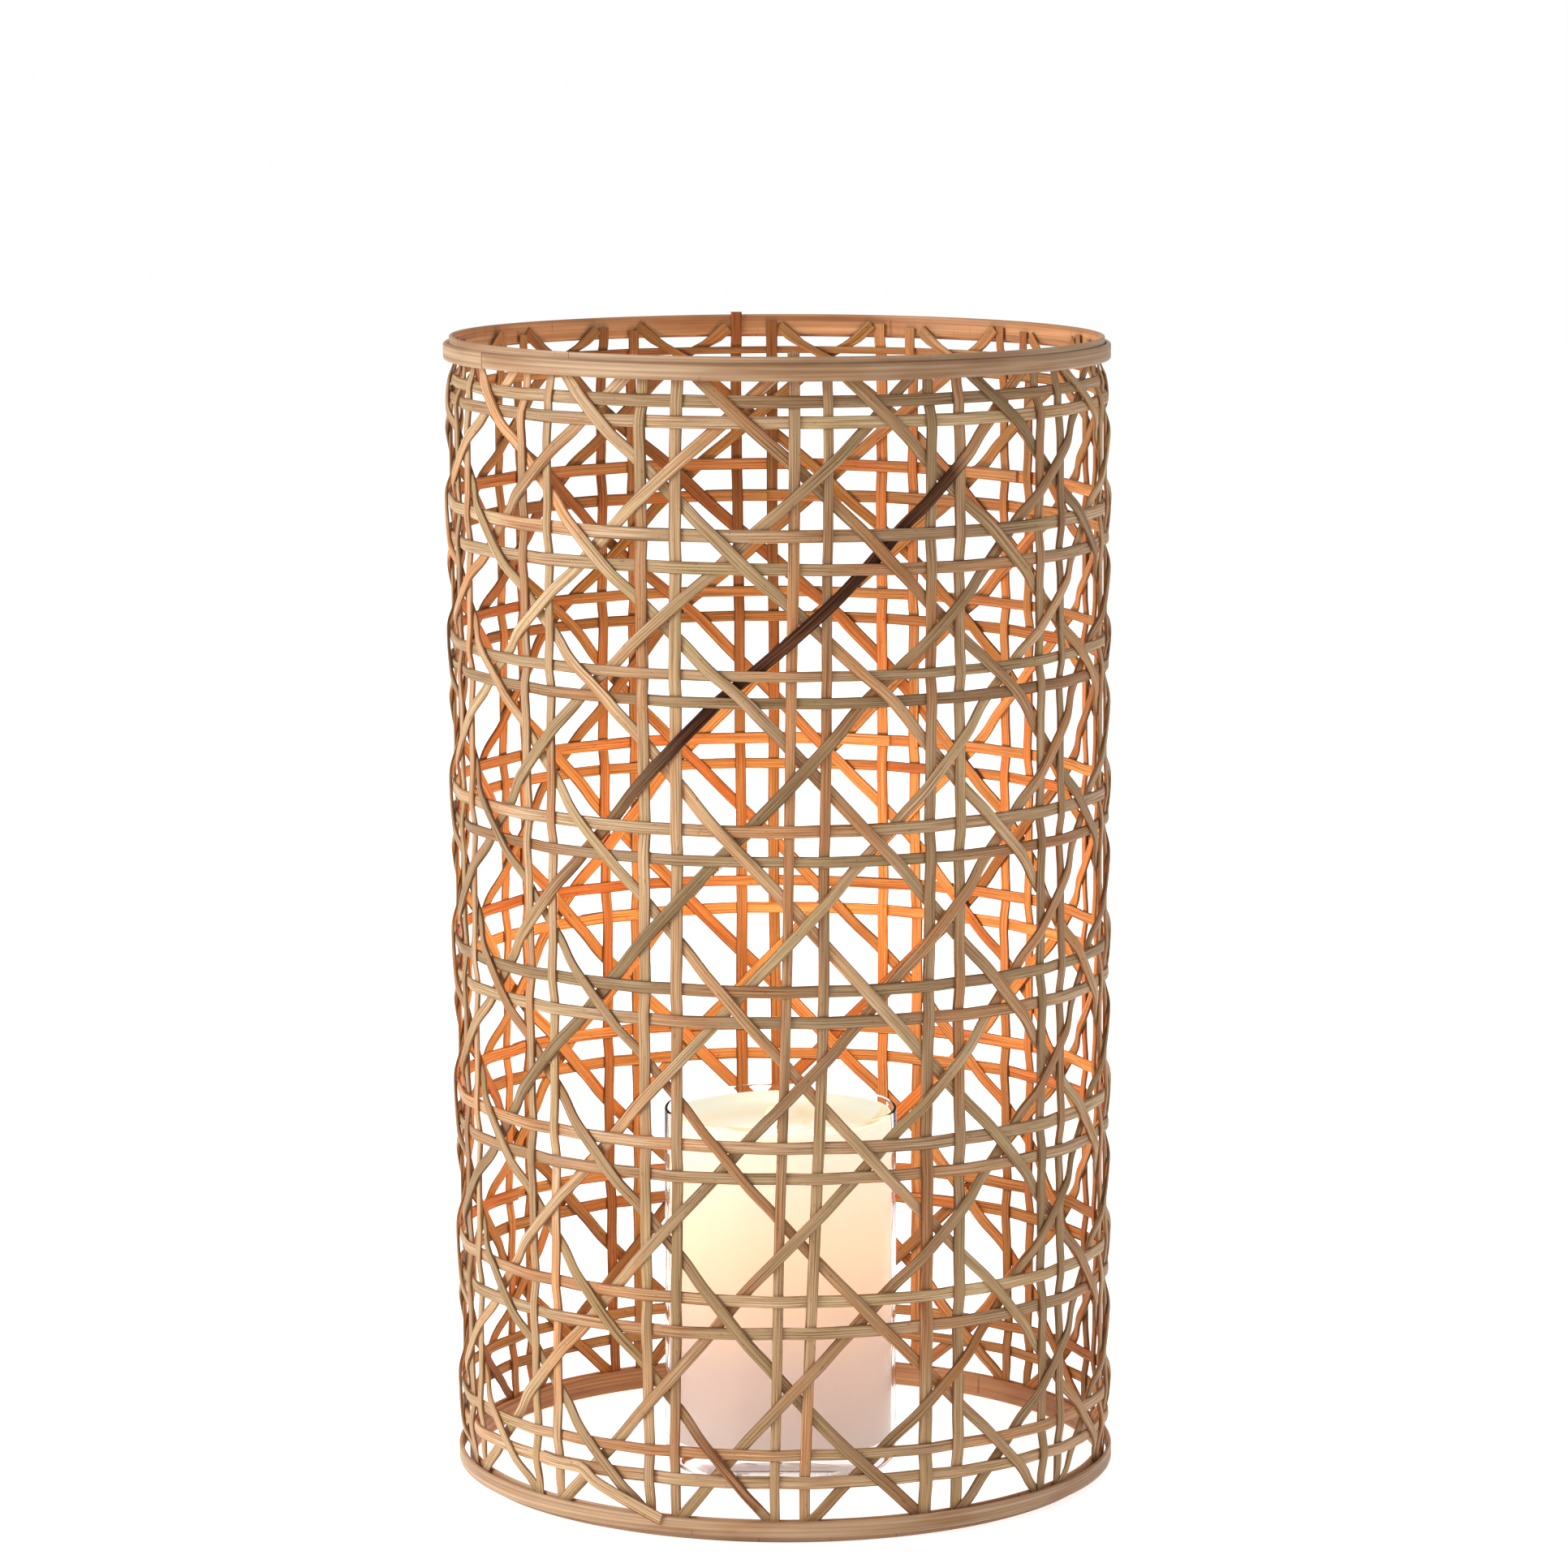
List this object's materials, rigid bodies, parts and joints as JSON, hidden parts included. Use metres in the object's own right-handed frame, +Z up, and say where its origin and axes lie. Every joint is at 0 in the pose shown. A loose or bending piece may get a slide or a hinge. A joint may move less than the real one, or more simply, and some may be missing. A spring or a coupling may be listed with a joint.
{
  "type": "candle lantern",
  "caption": "Open cane-weave cylinder lantern: a lift-off caned sleeve between split-cane hoops, around a clear glass holder with a pillar candle.",
  "frame": {"origin": "on the surface that the lantern stands on, at the middle of the sleeve and of the glass holder", "axes": "+Z up along the sleeve's axis; -Y is the front, where one pair of uprights stands"},
  "size_m": [0.2366, 0.2366, 0.408],
  "materials": {
    "ring_cane": "dry split cane, beige with fine lengthwise grain",
    "upright_cane": "dry split cane, tan with fine lengthwise grain",
    "diagonal_cane": "dry split cane, grey brown with fine lengthwise grain",
    "hoop_splint": "peeled bamboo splint, peach tan, satin",
    "clear_glass": "clear polished glass with a heavy base",
    "ivory_wax": "ivory candle wax, satin and slightly translucent",
    "cotton_wick": "charred cotton"
  },
  "bodies": {
    "glass": {"glass_holder": "clear_glass"},
    "sleeve": {"top_outer_hoop": "hoop_splint", "top_backing_hoop": "hoop_splint", "bottom_outer_hoop": "hoop_splint", "bottom_backing_hoop": "hoop_splint", "ring_cane_1_lower": "ring_cane", "ring_cane_1_upper": "ring_cane", "ring_cane_2_lower": "ring_cane", "ring_cane_2_upper": "ring_cane", "ring_cane_3_lower": "ring_cane", "ring_cane_3_upper": "ring_cane", "ring_cane_4_lower": "ring_cane", "ring_cane_4_upper": "ring_cane", "ring_cane_5_lower": "ring_cane", "ring_cane_5_upper": "ring_cane", "ring_cane_6_lower": "ring_cane", "ring_cane_6_upper": "ring_cane", "ring_cane_7_lower": "ring_cane", "ring_cane_7_upper": "ring_cane", "ring_cane_8_lower": "ring_cane", "ring_cane_8_upper": "ring_cane", "upright_cane_01": "upright_cane", "upright_cane_02": "upright_cane", "upright_cane_03": "upright_cane", "upright_cane_04": "upright_cane", "upright_cane_05": "upright_cane", "upright_cane_06": "upright_cane", "upright_cane_07": "upright_cane", "upright_cane_08": "upright_cane", "upright_cane_09": "upright_cane", "upright_cane_10": "upright_cane", "upright_cane_11": "upright_cane", "upright_cane_12": "upright_cane", "upright_cane_13": "upright_cane", "upright_cane_14": "upright_cane", "diagonal_cane_01": "diagonal_cane", "diagonal_cane_02": "diagonal_cane", "diagonal_cane_03": "diagonal_cane", "diagonal_cane_04": "diagonal_cane", "diagonal_cane_05": "diagonal_cane", "diagonal_cane_06": "diagonal_cane", "diagonal_cane_07": "diagonal_cane", "diagonal_cane_08": "diagonal_cane", "diagonal_cane_09": "diagonal_cane", "diagonal_cane_10": "diagonal_cane", "diagonal_cane_11": "diagonal_cane", "diagonal_cane_12": "diagonal_cane", "diagonal_cane_13": "diagonal_cane", "diagonal_cane_14": "diagonal_cane"},
    "candle": {"pillar_candle": "ivory_wax", "wick": "cotton_wick"}
  },
  "joints": [
    {"name": "sleeve_lift", "type": "slide", "parent": "glass", "child": "sleeve", "axis": [0, 0, 1], "range_m": [0, 0.16]},
    {"name": "candle_lift", "type": "slide", "parent": "glass", "child": "candle", "axis": [0, 0, 1], "range_m": [0, 0.42]}
  ]
}
